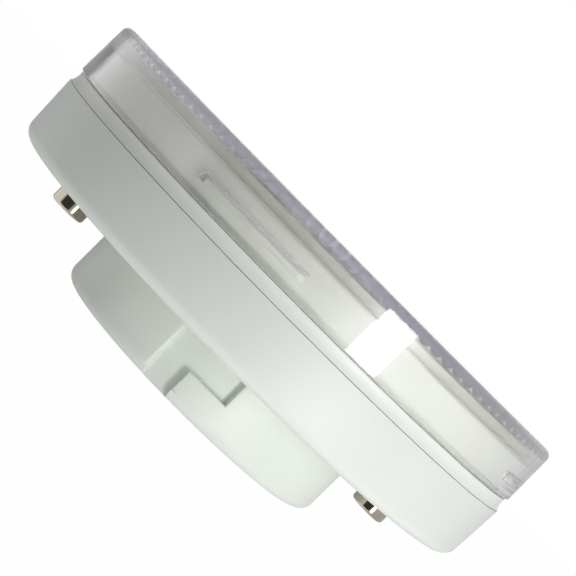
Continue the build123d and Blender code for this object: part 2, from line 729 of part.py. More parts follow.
# Axial parts on the upper side: round bodies on bent square leads
AXIAL_SIDES = 12
AXIAL_LEAD = 0.5
AXIAL_LEAD_REACH = 1.2
AXIAL_GAP = 0.1
axial_parts = (
    ("rectifier_diodes", 1.3, 5.2, ((-10.5, 10), (-6.0, 10), (-1.5, 10), (3.0, 10))),
    ("fusible_resistor", 1.25, 7.0, ((9.5, 6.0),)),
    ("starter_diac", 0.95, 3.9, ((4.5, -3.0),)),
    ("drive_resistors", 1.1, 6.0, ((-9.0, -7.0), (-4.5, -7.0), (0.0, -7.0))),
)
for label, body_r, body_length, places in axial_parts:
    axle_z = BOARD_TOP_Z + body_r + AXIAL_GAP
    half_span = body_length / 2 + AXIAL_LEAD_REACH
    leg_height = axle_z - BOARD_TOP_Z
    with BuildPart() as axial_part:
        for x, y in places:
            with BuildSketch(Plane.XZ.offset(-y)):
                with Locations((x, axle_z)):
                    RegularPolygon(body_r, AXIAL_SIDES)
            extrude(amount=body_length / 2, both=True)
            with BuildSketch(Plane.YZ.offset(x)):
                with Locations((y, axle_z)):
                    Rectangle(2 * half_span + AXIAL_LEAD, AXIAL_LEAD)
                with Locations(
                    (y - half_span, BOARD_TOP_Z + leg_height / 2),
                    (y + half_span, BOARD_TOP_Z + leg_height / 2),
                ):
                    Rectangle(AXIAL_LEAD, leg_height)
            extrude(amount=AXIAL_LEAD / 2, both=True)
    save(axial_part, label)
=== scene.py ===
from math import atan2, cos, degrees, hypot, pi, radians, sin, sqrt

import bmesh
import bpy
from bpy.props import FloatProperty, IntProperty, PointerProperty, StringProperty
from mathutils import Matrix, Vector


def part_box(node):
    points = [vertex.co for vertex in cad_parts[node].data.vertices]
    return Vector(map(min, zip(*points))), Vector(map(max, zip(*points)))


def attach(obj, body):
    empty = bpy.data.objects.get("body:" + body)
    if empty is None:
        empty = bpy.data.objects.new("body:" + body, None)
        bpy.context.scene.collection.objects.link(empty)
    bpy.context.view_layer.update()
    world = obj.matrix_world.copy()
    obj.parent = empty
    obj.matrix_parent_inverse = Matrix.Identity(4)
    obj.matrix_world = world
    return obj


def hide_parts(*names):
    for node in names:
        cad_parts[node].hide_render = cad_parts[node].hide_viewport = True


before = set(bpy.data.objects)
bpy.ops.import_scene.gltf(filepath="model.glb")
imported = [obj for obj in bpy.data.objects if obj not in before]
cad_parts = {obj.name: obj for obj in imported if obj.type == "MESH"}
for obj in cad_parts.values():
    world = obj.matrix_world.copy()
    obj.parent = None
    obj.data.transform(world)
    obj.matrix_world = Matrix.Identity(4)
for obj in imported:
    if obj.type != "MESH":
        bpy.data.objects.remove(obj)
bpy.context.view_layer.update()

bl_info = {
    "name": "Flat Compact Fluorescent Lamp",
    "version": (1, 0, 0),
    "blender": (4, 5, 0),
    "location": "View3D > Sidebar > Lamp",
    "description": "Dresses a flat twist-lock compact fluorescent lamp and its studio",
    "category": "Add Mesh",
}

# Sizes of the frame's solids, in millimetres
MM = 0.001
housing_low, housing_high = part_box("rear_housing")
cover_low, cover_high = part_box("front_cover")
pin_low, pin_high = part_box("contact_pin_right")
LAMP_R = housing_high[0] / MM
LAMP_HEIGHT = cover_high[2] / MM
SEAM_Z = housing_high[2] / MM
COVER_FOOT_Z = cover_low[2] / MM - 0.2
COVER_FOOT_R = cover_high[0] / MM
PIN_X = (pin_low[0] + pin_high[0]) / 2 / MM
PIN_TIP_Z = pin_low[2] / MM + 0.15
PIN_HEAD_R = (pin_high[0] - pin_low[0]) / 2 / MM

# Sizes inside those boxes, in millimetres, and keyway angles in degrees
HUB_R = 20.9
HUB_HEIGHT = 9.0
WALL = 1.5
HOUSING_FOOT_R = 37.1
HOUSING_BORE_R = 35.9
HUB_BORE_R = 18.4
HOUSING_FLOOR_Z = HUB_HEIGHT + WALL
DIMPLE_R = 1.6
DIMPLE_DEPTH = 0.35
PIN_SEAT_Z = HUB_HEIGHT - 0.4
RIVET_SEAT_Z = HOUSING_FLOOR_Z + 0.4
RIVET_TOP_Z = HOUSING_FLOOR_Z + 1.0
RIVET_R = 2.0
RIVET_TOP_R = 1.2
SHANK_R = 1.3
KEY_LEFT = -19.6
KEY_STEP_SPAN = 11.3
KEY_SPAN = 27.4
KEY_STEP_Z = 4.3
KEY_FLOOR_R = 19.6
TRAY_WALL_OUTER_R = 35.8
TRAY_WALL_INNER_R = 34.6
TRAY_WALL_TOP_Z = 24.4
TRAY_FLOOR_TOP_Z = 18.5
BAND_TOP_R = 37.1
BAND_FOOT_R = 37.35
WAIST_Z = 18.45
SEAM_GAP = 0.06
FOOT_GROOVE = 0.2
FOOT_RECESS = 0.9
FOOT_RECESS_R = 35.2
SPIGOT_R = 35.7
SPIGOT_INNER_R = 34.5
SPIGOT_FOOT_Z = 14.9
COVER_TOP_R = 37.3
COVER_BORE_R = 36.1
FLUTE_CREST_Z = 25.8
FLUTE_MIDDLE_R = 22.0
FLUTE_INNER_R = 8.0
TEXTURE_DROP = 0.4
TUBE_R = 3.2
TUBE_Z = 22.0
LIMB_PITCH = 10.0
LIMB_COUNT = 6
BEND_REACH = 25.2
TUBE_END_Y = -11.5
TUBE_DROP_R = 4.0
TUBE_STRAIGHT_FOOT_Z = 13.8
PINCH_FOOT_Z = 12.4

# Points less far apart than this are level, and lines less far apart in degrees are in line
TOUCH = 0.001
IN_LINE = 0.1

# Stage, in millimetres; a softbox's place is its angle right of the camera, distance and height
FLOOR_GAP = 0.02
FLOOR_R = 450
PAPER_SEEN = 0.985
PAPER_GLOW = 0.31
STRIP_PLACE = (34, 200, -8)
STRIP_SIZE = (47, 106)
WIDE_PLACE = (78, 300, 0)
WIDE_SIZE = (220, 200)
OVERHEAD = 400
OVERHEAD_SIZE = (200, 200)
BOUNCES = 32
DIFFUSE_BOUNCES = 8


# Properties that a user would change


def length(name, description, default):
    """A length property, its default given in millimetres."""
    return FloatProperty(
        name=name, description=description, default=default * MM, unit="LENGTH", precision=5
    )


def angle(name, description, default):
    """An angle property, its default given in degrees."""
    return FloatProperty(
        name=name, description=description, default=radians(default), subtype="ANGLE"
    )


def level(name, description, default):
    """A brightness or roughness property."""
    return FloatProperty(name=name, description=description, default=default, min=0)


def colour(name, description, default):
    """A colour property, written as an sRGB hex value."""
    return StringProperty(name=name, description=description, default=default)


class LampHousingSettings(bpy.types.PropertyGroup):
    hub_edge: length("Hub edge", "Radius round the hub's rear rim", 1.55)
    hub_root: length("Hub root", "Radius where the hub meets the body", 0.5)
    foot_edge: length("Body edge", "Radius round the body's rear rim", 1.55)
    seam_edge: length("Seam edge", "Radius at the body's front rim", 0.08)
    keyway_edge: length("Keyway edge", "Radius on the keyways' edges", 0.15)
    keyway_lead: length("Keyway lead", "Radius on the keyways' leading edge", 0.5)
    boss_radius: length("Boss radius", "Radius of the boss round each pin", 4.2)
    grain: length("Mould grain", "Size of the spark-eroded grain", 0.12)
    tint: colour("Colour", "Moulded plastic of the housing", "#E0E5DF")


class LampPinSettings(bpy.types.PropertyGroup):
    head_height: length("Head height", "Height of the pin's cylindrical head", 2.1)
    head_edge: length("Head edge", "Radius round the pin's tip", 0.45)
    neck_radius: length("Neck radius", "Radius of the pin behind its head", 1.6)
    plating: colour("Plating", "Colour of the nickel plate", "#BDB5A6")


class LampTraySettings(bpy.types.PropertyGroup):
    waist_radius: length("Band waist", "Least radius of the band below the cover", 36.95)
    snap_low: length("Snap foot", "Height of a snap rib's lower face", 21.25)
    snap_high: length("Snap top", "Height where a snap rib's slope ends", 22.35)
    snap_proud: length("Snap depth", "How far a snap rib stands out of the wall", 0.7)
    snap_clearance: length("Snap clearance", "Room round a snap rib in the cover", 0.1)
    lip_radius: length("Lip radius", "Outer radius of the ribbed lip on the wall", 35.05)
    lip_height: length("Lip height", "Height of the lip above the wall", 1.2)
    lip_ribs: length("Lip ribs", "Height of the lip's upright ribs", 0.08)
    hole_radius: length("Tube hole", "Radius of the holes for the tube's ends", 3.8)
    snap_turn: angle("Snap turn", "Angle of the first snap rib", -17)
    snap_span: angle("Snap span", "Angle that a snap rib covers", 26)
    tint: colour("Colour", "Moulded plastic of the tray", "#EBEEE9")


class LampTubeSettings(bpy.types.PropertyGroup):
    sides: IntProperty(name="Sides", description="Faces round the tube", default=32, min=8, max=96)
    pinch_width: length("Seal width", "Width of the pinched seal", 5.2)
    pinch_thickness: length("Seal thickness", "Thickness of the pinched seal", 2.2)
    coating: colour("Coating", "Phosphor seen through the tube's glass", "#F1F0EA")


class LampCoverSettings(bpy.types.PropertyGroup):
    flute_count: IntProperty(
        name="Flutes", description="Radial flutes under the plate", default=116, min=12, max=240
    )
    flute_depth: length("Flute depth", "Depth of the grooves at the rim", 0.45)
    edge: length("Front edge", "Radius round the front plate", 1.1)
    foot_edge: length("Foot edge", "Radius at the foot of the skirt", 0.2)
    polish: level("Polish", "Roughness of the outer faces", 0.02)
    texture: level("Texture", "Roughness of the upper inner faces", 0.2)
    tint: colour("Body tint", "Colour that a long way through the plastic takes", "#BDB7D2")


class LampStageSettings(bpy.types.PropertyGroup):
    camera_distance: length("Camera distance", "From the lamp's axis to the camera", 282.6)
    camera_height: length("Camera height", "Height of the camera above the floor", 30.4)
    camera_shift: length("Camera shift", "How far the camera stands right of the axis", -0.27)
    camera_turn: angle("Camera turn", "Angle of the view about the axis", 4.5)
    camera_pitch: angle("Camera pitch", "How far the view looks down", 2.46)
    camera_roll: angle("Camera roll", "Roll of the camera", 45.41)
    camera_lens: FloatProperty(
        name="Camera lens", description="Focal length", default=142.0, unit="CAMERA"
    )
    key_radiance: level("Key radiance", "Brightness of the strip softbox, where 1 is white", 11.2)
    side_radiance: level("Side radiance", "Brightness of the wide softbox, where 1 is white", 1.3)
    top_radiance: level("Top radiance", "Brightness of the overhead softbox, where 1 is white", 6)
    fill: level("Fill", "Light from all round, where 1 is white", 0.19)
    room: level("Room", "Brightness of the room behind the camera in mirrors", 0.06)
    left_gloom: level("Left gloom", "Brightness left of the backdrop in mirrors", 0.19)
    right_gloom: level("Right gloom", "Brightness right of the backdrop in mirrors", 0.6)
    ceiling: level("Ceiling", "Brightness overhead in mirrors", 0.75)
    paper: level("Paper", "Brightness of the backdrop in mirrors", 1.12)
    left_side: level("Left side", "Brightness of the room on the left in mirrors", 1.1)
    right_side: level("Right side", "Brightness of the room on the right in mirrors", 0.65)
    floor_tint: colour("Floor", "Paper of the floor and backdrop", "#EDEDEB")


GROUPS = (
    ("lamp_housing", LampHousingSettings),
    ("lamp_pins", LampPinSettings),
    ("lamp_tray", LampTraySettings),
    ("lamp_tube", LampTubeSettings),
    ("lamp_cover", LampCoverSettings),
    ("lamp_stage", LampStageSettings),
)


# Materials


def linear(hex_value):
    """An sRGB hex colour as linear light, opaque."""
    channels = [int(hex_value[place : place + 2], 16) / 255 for place in (1, 3, 5)]
    return [c / 12.92 if c <= 0.04045 else ((c + 0.055) / 1.055) ** 2.4 for c in channels] + [1.0]


def add_node(tree, kind, settings=None, **inputs):
    """Add a node with its settings, or a ramp's stops, and set or link its inputs by name or place."""
    node = tree.nodes.new(kind)
    for name, value in (settings or {}).items():
        if name != "stops":
            setattr(node, name, value)
            continue
        for element, (position, shade) in zip(node.color_ramp.elements, value):
            element.position = position
            element.color = linear(shade)
    for name, value in inputs.items():
        key = int(name[1:]) if name[0] == "_" and name[1:].isdigit() else name.replace("_", " ")
        if isinstance(value, bpy.types.Node):
            value = value.outputs[0]
        if isinstance(value, bpy.types.NodeSocket):
            tree.links.new(value, node.inputs[key])
        else:
            node.inputs[key].default_value = value
    return node


def new_material(name):
    """An empty node material, its tree and its object coordinates."""
    material = bpy.data.materials.new(name)
    material.use_nodes = True
    tree = material.node_tree
    tree.nodes.clear()
    return material, tree, add_node(tree, "ShaderNodeTexCoord").outputs["Object"]


def moulded_plastic(name, tint, shadow_tint, roughness, grain_mm, relief, coat=0.0):
    """A moulded thermoplastic: an even colour, a fine mould grain and slightly uneven gloss."""
    material, tree, place = new_material(name)
    flow = add_node(tree, "ShaderNodeTexNoise", Vector=place, Scale=1 / (12 * MM), Detail=2.0)
    grain = add_node(tree, "ShaderNodeTexNoise", Vector=place, Scale=1 / (grain_mm * MM), Detail=3.0)
    stops = ((0.3, shadow_tint), (0.7, tint))
    shader = add_node(
        tree,
        "ShaderNodeBsdfPrincipled",
        Base_Color=add_node(tree, "ShaderNodeValToRGB", {"stops": stops}, Fac=flow),
        Roughness=add_node(
            tree, "ShaderNodeMapRange", Value=flow, To_Min=roughness - 0.03, To_Max=roughness + 0.03
        ),
        IOR=1.51,
        Coat_Weight=coat,
        Coat_Roughness=0.08,
        Normal=add_node(tree, "ShaderNodeBump", Height=grain, Strength=relief, Distance=0.02 * MM),
    )
    add_node(tree, "ShaderNodeOutputMaterial", Surface=shader)
    return material


def nickel_plate(tint):
    """Bright nickel on a turned brass pin: mirror-like, with faint lathe rings round its axis."""
    material, tree, place = new_material("Nickel plate, bright")
    rings = add_node(
        tree,
        "ShaderNodeTexWave",
        {"wave_type": "BANDS", "bands_direction": "Z"},
        Vector=place,
        Scale=1 / (0.35 * MM),
        Distortion=0.4,
        Detail=1.0,
    ).outputs["Fac"]
    smudge = add_node(tree, "ShaderNodeTexNoise", Vector=place, Scale=1 / (1.5 * MM), Detail=3.0)
    shader = add_node(
        tree,
        "ShaderNodeBsdfPrincipled",
        Base_Color=linear(tint),
        Metallic=1.0,
        Roughness=add_node(tree, "ShaderNodeMapRange", Value=smudge, To_Min=0.05, To_Max=0.14),
        Normal=add_node(tree, "ShaderNodeBump", Height=rings, Strength=0.05, Distance=0.01 * MM),
    )
    add_node(tree, "ShaderNodeOutputMaterial", Surface=shader)
    return material


def tinned_steel():
    """Hot-tinned steel strip and wire: grey, soft-edged gloss with a faint frosting."""
    material, tree, place = new_material("Steel, hot tinned")
    frost = add_node(tree, "ShaderNodeTexNoise", Vector=place, Scale=1 / (0.6 * MM), Detail=4.0)
    shader = add_node(
        tree,
        "ShaderNodeBsdfPrincipled",
        Base_Color=linear("#C9C9C7"),
        Metallic=1.0,
        Roughness=add_node(tree, "ShaderNodeMapRange", Value=frost, To_Min=0.25, To_Max=0.45),
    )
    add_node(tree, "ShaderNodeOutputMaterial", Surface=shader)
    return material


def phosphor_glass(tint):
    """Soda glass drawn into a tube and coated inside: matt white under a clear, glossy wall."""
    material, tree, place = new_material("Glass tube, phosphor coated")
    cloud = add_node(tree, "ShaderNodeTexNoise", Vector=place, Scale=1 / (6 * MM), Detail=2.0)
    stops = ((0.35, "#EBEAE2"), (0.65, tint))
    shader = add_node(
        tree,
        "ShaderNodeBsdfPrincipled",
        Base_Color=add_node(tree, "ShaderNodeValToRGB", {"stops": stops}, Fac=cloud),
        Roughness=0.55,
        IOR=1.52,
        Coat_Weight=1.0,
        Coat_Roughness=0.03,
        Coat_IOR=1.52,
    )
    add_node(tree, "ShaderNodeOutputMaterial", Surface=shader)
    return material


def clear_polycarbonate(tint, outer, inner):
    """Clear polycarbonate: polished, softly textured inside its upper part, cool tint edge-on, and a
    darker tint painted in as shade in a band inside the skirt round the top of the tray's wall.
    """
    material, tree, place = new_material("Polycarbonate, clear")
    spot = add_node(tree, "ShaderNodeSeparateXYZ", Vector=place)
    flat = add_node(tree, "ShaderNodeCombineXYZ", X=spot.outputs["X"], Y=spot.outputs["Y"])
    reach = add_node(tree, "ShaderNodeVectorMath", {"operation": "LENGTH"}, _0=flat).outputs["Value"]
    inside = (COVER_BORE_R + 0.5) * MM
    within = add_node(tree, "ShaderNodeMath", {"operation": "LESS_THAN"}, _0=reach, _1=inside)
    low = TRAY_WALL_TOP_Z - TEXTURE_DROP
    masks = []
    for top in (LAMP_HEIGHT - 0.3, FLUTE_CREST_Z):
        level_with = add_node(
            tree,
            "ShaderNodeMath",
            {"operation": "COMPARE"},
            _0=spot.outputs["Z"],
            _1=(low + top) / 2 * MM,
            _2=(top - low) / 2 * MM,
        )
        masks.append(
            add_node(tree, "ShaderNodeMath", {"operation": "MULTIPLY"}, _0=within, _1=level_with)
        )
    textured, frost_and_shade_band = masks
    flow = add_node(tree, "ShaderNodeTexNoise", Vector=place, Scale=1 / (5 * MM), Detail=2.0)
    # The darker stop is painted shade, tinting the band inside the skirt round the top of the tray's
    # wall.
    tint_and_painted_shade = {"stops": ((0.0, "#FCFCFB"), (1.0, "#EFEFEC"))}
    body = add_node(
        tree,
        "ShaderNodeBsdfPrincipled",
        Base_Color=add_node(tree, "ShaderNodeValToRGB", tint_and_painted_shade, Fac=frost_and_shade_band),
        Roughness=add_node(tree, "ShaderNodeMapRange", Value=textured, To_Min=outer, To_Max=inner),
        IOR=1.585,
        Transmission_Weight=1.0,
        Normal=add_node(tree, "ShaderNodeBump", Height=flow, Strength=0.08, Distance=0.02 * MM),
    )
    dim = {"stops": ((0.0, "#E3E4E1"), (1.0, "#7E7E7C"))}
    shade = add_node(tree, "ShaderNodeValToRGB", dim, Fac=frost_and_shade_band)
    pass_light = add_node(tree, "ShaderNodeBsdfTransparent", Color=shade)
    shadow_ray = add_node(tree, "ShaderNodeLightPath").outputs["Is Shadow Ray"]
    add_node(
        tree,
        "ShaderNodeOutputMaterial",
        Surface=add_node(tree, "ShaderNodeMixShader", _0=shadow_ray, _1=body, _2=pass_light),
        Volume=add_node(tree, "ShaderNodeVolumeAbsorption", Color=linear(tint), Density=14.0),
    )
    return material


def speckled(name, tint, speck_tint, speck_mm, roughness, relief=0.2, metallic=0.0):
    """A dull mixed body, such as pressed ferrite, paper laminate or filled epoxy."""
    material, tree, place = new_material(name)
    specks = add_node(tree, "ShaderNodeTexNoise", Vector=place, Scale=1 / (speck_mm * MM), Detail=5.0)
    stops = ((0.4, tint), (0.62, speck_tint))
    shader = add_node(
        tree,
        "ShaderNodeBsdfPrincipled",
        Base_Color=add_node(tree, "ShaderNodeValToRGB", {"stops": stops}, Fac=specks),
        Metallic=metallic,
        Roughness=roughness,
        Normal=add_node(tree, "ShaderNodeBump", Height=specks, Strength=relief, Distance=0.03 * MM),
    )
    add_node(tree, "ShaderNodeOutputMaterial", Surface=shader)
    return material


def enamelled_copper():
    """Enamelled copper wire wound side by side: bright turns of 0.2 mm wire with shade painted dark into
    the gaps between them.
    """
    material, tree, place = new_material("Copper wire, enamelled")
    turns = add_node(
        tree,
        "ShaderNodeTexWave",
        {"wave_type": "BANDS", "bands_direction": "Z"},
        Vector=place,
        Scale=0.314 / (0.2 * MM),
        Distortion=0.6,
    ).outputs["Fac"]
    # The dark stop is painted shade in the gaps between turns.
    stops = ((0.1, "#4A1E0C"), (0.55, "#B5602B"))
    shader = add_node(
        tree,
        "ShaderNodeBsdfPrincipled",
        Base_Color=add_node(tree, "ShaderNodeValToRGB", {"stops": stops}, Fac=turns),
        Metallic=1.0,
        Roughness=0.3,
        Coat_Weight=0.6,
        Coat_Roughness=0.1,
        Normal=add_node(tree, "ShaderNodeBump", Height=turns, Strength=0.6, Distance=0.06 * MM),
    )
    add_node(tree, "ShaderNodeOutputMaterial", Surface=shader)
    return material


def studio_paper(tint):
    """Matt paper on a light table: it glows a little, shows almost white, and is clear from below."""
    material, tree, place = new_material("Backdrop paper")
    fibres = add_node(tree, "ShaderNodeTexNoise", Vector=place, Scale=1 / (1.2 * MM), Detail=3.0)
    stops = ((0.3, "#E9E9E7"), (0.7, tint))
    body = add_node(tree, "ShaderNodeValToRGB", {"stops": stops}, Fac=fibres)
    paper = add_node(tree, "ShaderNodeBsdfPrincipled", Base_Color=body, Roughness=0.9)
    table = add_node(tree, "ShaderNodeEmission", Color=(1, 1, 1, 1), Strength=1.0)
    path = add_node(tree, "ShaderNodeLightPath")
    seen = path.outputs["Is Camera Ray"]
    for ray in ("Is Glossy Ray", "Is Transmission Ray"):
        seen = add_node(tree, "ShaderNodeMath", {"operation": "MAXIMUM"}, _0=seen, _1=path.outputs[ray])
    share = add_node(tree, "ShaderNodeMapRange", Value=seen, To_Min=PAPER_GLOW, To_Max=PAPER_SEEN)
    above = add_node(tree, "ShaderNodeMixShader", _0=share, _1=paper, _2=table)
    clear = add_node(tree, "ShaderNodeBsdfTransparent", Color=(1, 1, 1, 1))
    under = add_node(tree, "ShaderNodeNewGeometry").outputs["Backfacing"]
    one_way = add_node(tree, "ShaderNodeMixShader", _0=under, _1=above, _2=clear)
    add_node(tree, "ShaderNodeOutputMaterial", Surface=one_way)
    return material


# Mesh tools, all in millimetres until a piece is finished


def round_off(bm, parts, offset, segments, affect="EDGES", clamp=False):
    """Round these edges or corners."""
    bmesh.ops.bevel(
        bm,
        geom=parts,
        offset=offset,
        segments=segments,
        profile=0.5,
        affect=affect,
        clamp_overlap=clamp,
        material=-1,
    )


def outline(bm, points):
    """Draw a closed section in the XZ plane from (radius, height, round, segments) corners."""
    verts = [bm.verts.new((point[0], 0, point[1])) for point in points]
    for here, following in zip(verts, verts[1:] + verts[:1]):
        bm.edges.new((here, following))
    for vert, point in zip(verts, points):
        if len(point) > 2:
            round_off(bm, [vert], point[2], point[3], "VERTICES")


def turn_round(bm, verts, turn):
    """Turn these points about the lamp's axis, by an angle in radians."""
    bmesh.ops.rotate(bm, verts=verts, cent=(0, 0, 0), matrix=Matrix.Rotation(turn, 3, "Z"))


def spin_round(bm, steps, angle=2 * pi):
    """Spin everything in the mesh about the lamp's axis."""
    bmesh.ops.spin(
        bm,
        geom=bm.verts[:] + bm.edges[:],
        cent=(0, 0, 0),
        axis=(0, 0, 1),
        angle=angle,
        steps=steps,
        use_merge=abs(angle) > 6.28,
    )


def close_up(bm, distance=0.0005):
    """Merge doubled points, drop edges without faces and turn the faces outwards."""
    bmesh.ops.remove_doubles(bm, verts=bm.verts[:], dist=distance)
    bmesh.ops.dissolve_degenerate(bm, edges=bm.edges[:], dist=distance)
    loose = [line for line in bm.edges if not line.link_faces]
    bmesh.ops.delete(bm, geom=loose, context="EDGES")
    bmesh.ops.recalc_face_normals(bm, faces=bm.faces[:])


def join(bm, other):
    """Add another mesh to this one."""
    held = bpy.data.meshes.new("held")
    other.to_mesh(held)
    other.free()
    bm.from_mesh(held)
    bpy.data.meshes.remove(held)


def carve(bm, cutter):
    """Take the cutter's solid out of this mesh."""
    blanks = []
    for source in (bm, cutter):
        mesh = bpy.data.meshes.new("held")
        source.to_mesh(mesh)
        blanks.append(bpy.data.objects.new("held", mesh))
        bpy.context.scene.collection.objects.link(blanks[-1])
    cut = blanks[0].modifiers.new("cut", "BOOLEAN")
    cut.operation = "DIFFERENCE"
    cut.solver = "EXACT"
    cut.object = blanks[1]
    bpy.context.view_layer.update()
    graph = bpy.context.evaluated_depsgraph_get()
    carved = bpy.data.meshes.new_from_object(blanks[0].evaluated_get(graph))
    bm.clear()
    bm.from_mesh(carved)
    cutter.free()
    for mesh in [carved] + [blank.data for blank in blanks]:
        bpy.data.meshes.remove(mesh)


def ring_part(points, start, span, steps):
    """A closed bar of this section that runs round part of the lamp."""
    bm = bmesh.new()
    outline(bm, points)
    turn_round(bm, bm.verts[:], radians(start - 90))
    spin_round(bm, steps, radians(span))
    bmesh.ops.holes_fill(bm, edges=bm.edges[:])
    close_up(bm)
    return bm


def radius_of(vert):
    """A point's distance from the lamp's axis."""
    return hypot(vert.co.x, vert.co.y)


def turn_of(vector, start):
    """The angle about the axis in degrees from this start, which counts from -Y towards +X."""
    return (degrees(atan2(vector.x, -vector.y)) - start) % 360


def finish_piece(name, bm, material, node, sharp):
    """Make a piece of a finished mesh: metres, smooth shading, material and body, and hide the solid that
    it stands in for.
    """
    bmesh.ops.scale(bm, vec=(MM, MM, MM), verts=bm.verts[:])
    mesh = bpy.data.meshes.new(name)
    bm.to_mesh(mesh)
    bm.free()
    mesh.shade_smooth()
    mesh.set_sharp_from_angle(angle=radians(sharp))
    mesh.materials.append(material)
    piece = bpy.data.objects.new(name, mesh)
    bpy.context.scene.collection.objects.link(piece)
    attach(piece, "root")
    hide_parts(node)


def add_drum(bm, x, y, low, high, radius, edge, sides=48):
    """Add an upright drum with rounded rims."""
    drum = bmesh.ops.create_cone(
        bm,
        cap_ends=True,
        segments=sides,
        radius1=radius,
        radius2=radius,
        depth=high - low,
        matrix=Matrix.Translation((x, y, (low + high) / 2)),
    )
    if edge:
        rims = {
            line
            for vert in drum["verts"]
            for line in vert.link_edges
            if abs(line.verts[0].co.z - line.verts[1].co.z) < TOUCH
        }
        round_off(bm, list(rims), edge, 3)


# Pieces


class LAMP_OT_add_housing(bpy.types.Operator):
    """Rear housing with its hub, keyways and pin bosses"""

    bl_idname = "lamp.add_housing"
    bl_label = "Rear Housing"

    def execute(self, context):
        sizes = context.scene.lamp_housing
        columns = 144
        bm = bmesh.new()
        outline(
            bm,
            (
                (0, DIMPLE_DEPTH),
                (DIMPLE_R, DIMPLE_DEPTH),
                (DIMPLE_R, 0),
                (HUB_R, 0, sizes.hub_edge / MM, 7),
                (HUB_R, KEY_STEP_Z),
                (HUB_R, HUB_HEIGHT, sizes.hub_root / MM, 5),
                (HOUSING_FOOT_R, HUB_HEIGHT, sizes.foot_edge / MM, 9),
                (LAMP_R, SEAM_Z, sizes.seam_edge / MM, 3),
                (HOUSING_BORE_R, SEAM_Z, 0.15, 2),
                (HOUSING_BORE_R, HOUSING_FLOOR_Z, 1.0, 4),
                (HUB_BORE_R, HOUSING_FLOOR_Z, 0.3, 2),
                (HUB_BORE_R, WALL, 1.0, 4),
                (0, WALL),
            ),
        )
        turn_round(bm, bm.verts[:], radians(KEY_LEFT - 90))
        spin_round(bm, columns)
        close_up(bm)
        for half_turn in (0, 180):
            self.cut_keyway(bm, sizes, KEY_LEFT + half_turn, 360 / columns)
        boss_r = sizes.boss_radius / MM
        for side in (-1, 1):
            add_drum(bm, side * PIN_X, 0, PIN_SEAT_Z, HUB_HEIGHT + 0.5, boss_r, 0.15, 64)
        plastic = moulded_plastic(
            "PBT, moulded with a fine grain", sizes.tint, "#DDE2DC", 0.46, sizes.grain / MM, 0.35
        )
        finish_piece("housing", bm, plastic, "rear_housing", 35)
        return {"FINISHED"}

    def cut_keyway(self, bm, sizes, start, pitch):
        """Sink an L-shaped channel into the hub's wall and round its edges."""
        for span in (KEY_STEP_SPAN, KEY_SPAN):
            nearest = round(span / pitch) * pitch
            column = [
                vert
                for vert in bm.verts
                if radius_of(vert) > 1 and abs(turn_of(vert.co, start) - nearest) < 2 * IN_LINE
            ]
            turn_round(bm, column, radians(span - nearest))
        inside = []
        for face in bm.faces:
            middle = face.calc_center_median()
            span = KEY_STEP_SPAN if middle.z < KEY_STEP_Z else KEY_SPAN
            on_wall = KEY_FLOOR_R < hypot(middle.x, middle.y) < HUB_R + 1
            if on_wall and middle.z < HUB_HEIGHT - TOUCH and turn_of(middle, start) < span:
                inside.append(face)
        sunk = bmesh.ops.extrude_face_region(bm, geom=inside)
        bmesh.ops.delete(bm, geom=inside, context="FACES")
        for vert in sunk["geom"]:
            if isinstance(vert, bmesh.types.BMVert) and vert.co.z < HUB_HEIGHT - TOUCH:
                vert.co.xy *= min(1, KEY_FLOOR_R / radius_of(vert))
        close_up(bm)
        for lead, offset in ((True, sizes.keyway_lead / MM), (False, sizes.keyway_edge / MM)):
            edges = []
            for line in bm.edges:
                if len(line.link_faces) != 2 or line.calc_face_angle() < radians(40):
                    continue
                ends = [vert.co for vert in line.verts]
                turns = [(turn_of(co, start) + 5) % 360 - 5 for co in ends]
                on_rim = min(radius_of(vert) for vert in line.verts) > HUB_R - 0.02
                near = all(-IN_LINE < turn < KEY_SPAN + IN_LINE for turn in turns)
                at_lead = all(abs(turn) < IN_LINE for turn in turns)
                below = max(co.z for co in ends) < HUB_HEIGHT - 0.4
                if on_rim and near and below and at_lead == lead:
                    edges.append(line)
            round_off(bm, edges, offset, 5 if lead else 3, clamp=True)


class LAMP_OT_add_pins(bpy.types.Operator):
    """The two contact pins of the twist-lock base"""

    bl_idname = "lamp.add_pins"
    bl_label = "Contact Pins"

    def execute(self, context):
        sizes = context.scene.lamp_pins
        plating = nickel_plate(sizes.plating)
        head_top = PIN_TIP_Z + sizes.head_height / MM
        neck = sizes.neck_radius / MM
        for side, name in ((-1, "left"), (1, "right")):
            bm = bmesh.new()
            outline(
                bm,
                (
                    (0, PIN_TIP_Z),
                    (PIN_HEAD_R, PIN_TIP_Z, sizes.head_edge / MM, 7),
                    (PIN_HEAD_R, head_top, 0.2, 4),
                    (neck, head_top + 0.5, 0.15, 3),
                    (neck, PIN_SEAT_Z),
                    (SHANK_R, PIN_SEAT_Z),
                    (SHANK_R, RIVET_SEAT_Z),
                    (RIVET_R, RIVET_SEAT_Z, 0.1, 2),
                    (RIVET_TOP_R, RIVET_TOP_Z, 0.3, 3),
                    (0, RIVET_TOP_Z),
                ),
            )
            spin_round(bm, 72)
            bmesh.ops.translate(bm, vec=(side * PIN_X, 0, 0), verts=bm.verts[:])
            close_up(bm)
            finish_piece(f"pin_{name}", bm, plating, f"contact_pin_{name}", 35)
        return {"FINISHED"}


